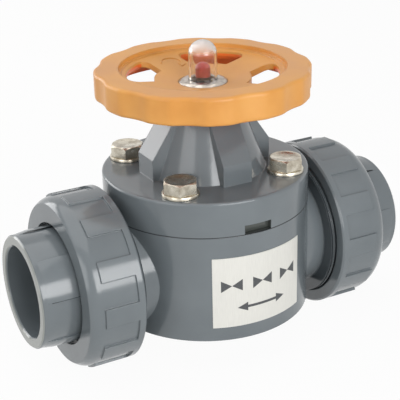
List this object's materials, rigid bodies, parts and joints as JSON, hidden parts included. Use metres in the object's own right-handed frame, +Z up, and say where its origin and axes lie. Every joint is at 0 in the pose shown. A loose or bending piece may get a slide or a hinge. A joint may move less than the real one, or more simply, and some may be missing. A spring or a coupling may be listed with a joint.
{
  "type": "diaphragm valve",
  "caption": "Plastic weir diaphragm valve with an orange handwheel, clear position cap, bolted bonnet and union ends with solvent sockets.",
  "frame": {"origin": "centre of the body's flat underside, below the spindle axis", "axes": "+Z up along the spindle, +X along the flow axis towards the outlet socket, -Y towards the side with the label"},
  "size_m": [0.225, 0.1176, 0.17],
  "materials": {
    "pvc_grey": "satin moulded grey PVC-U",
    "wheel_orange": "moulded orange polyamide",
    "bolt_stainless": "stainless steel",
    "ring_chrome": "bright plated ring",
    "stem_steel": "turned steel",
    "bush_brass": "turned brass",
    "seal_rubber": "black EPDM",
    "cap_clear": "clear moulded plastic",
    "tip_red": "red plastic",
    "slide_white": "low-friction plastic washer",
    "press_dark": "glass-filled polyamide",
    "label_white": "printed silver-white foil"
  },
  "bodies": {
    "valve_body": {"valve_body": "pvc_grey", "bracket_inserts": "bush_brass", "bonnet": "pvc_grey", "bonnet_bolts": "bolt_stainless", "bolt_washers": "bolt_stainless", "base_washers": "bolt_stainless", "bolt_nuts": "bolt_stainless", "thrust_washer": "slide_white", "slide_washer": "slide_white", "inlet_seal": "seal_rubber", "outlet_seal": "seal_rubber", "front_label": "label_white"},
    "wheel": {"handwheel": "wheel_orange", "stem_nut": "bush_brass", "bush_seal": "seal_rubber", "hub_washer": "bolt_stainless", "hub_nut": "bolt_stainless", "indicator_cap": "cap_clear", "cap_ring": "ring_chrome"},
    "stem": {"stem": "stem_steel", "stem_pin": "stem_steel", "indicator_tip": "tip_red", "compressor": "press_dark", "diaphragm_stud": "stem_steel", "diaphragm": "seal_rubber"},
    "inlet_end": {"inlet_connector": "pvc_grey"},
    "inlet_nut": {"inlet_union_nut": "pvc_grey"},
    "outlet_end": {"outlet_connector": "pvc_grey"},
    "outlet_nut": {"outlet_union_nut": "pvc_grey"}
  },
  "joints": [
    {"name": "wheel_spin", "type": "hinge", "parent": "valve_body", "child": "wheel", "pos_m": [0, 0, 0.13], "axis": [0, 0, 1], "range_deg": [-900, 900]},
    {"name": "stem_lift", "type": "slide", "parent": "valve_body", "child": "stem", "axis": [0, 0, 1], "range_m": [-0.01, 0.01], "deforming": ["diaphragm"]},
    {"name": "inlet_draw", "type": "slide", "parent": "valve_body", "child": "inlet_end", "axis": [-1, 0, 0], "range_m": [0, 0.0162]},
    {"name": "inlet_nut_turn", "type": "hinge", "parent": "inlet_end", "child": "inlet_nut", "pos_m": [-0.077, 0, 0.03], "axis": [-1, 0, 0], "range_deg": [0, 2520]},
    {"name": "outlet_draw", "type": "slide", "parent": "valve_body", "child": "outlet_end", "axis": [1, 0, 0], "range_m": [0, 0.0162]},
    {"name": "outlet_nut_turn", "type": "hinge", "parent": "outlet_end", "child": "outlet_nut", "pos_m": [0.077, 0, 0.03], "axis": [1, 0, 0], "range_deg": [0, 2520]}
  ],
  "couplings": [
    {"joint": "stem_lift", "follows": "wheel_spin", "m_per_rad": 0.00063662},
    {"joint": "inlet_draw", "follows": "inlet_nut_turn", "m_per_rad": 0.00036751},
    {"joint": "outlet_draw", "follows": "outlet_nut_turn", "m_per_rad": 0.00036751}
  ]
}
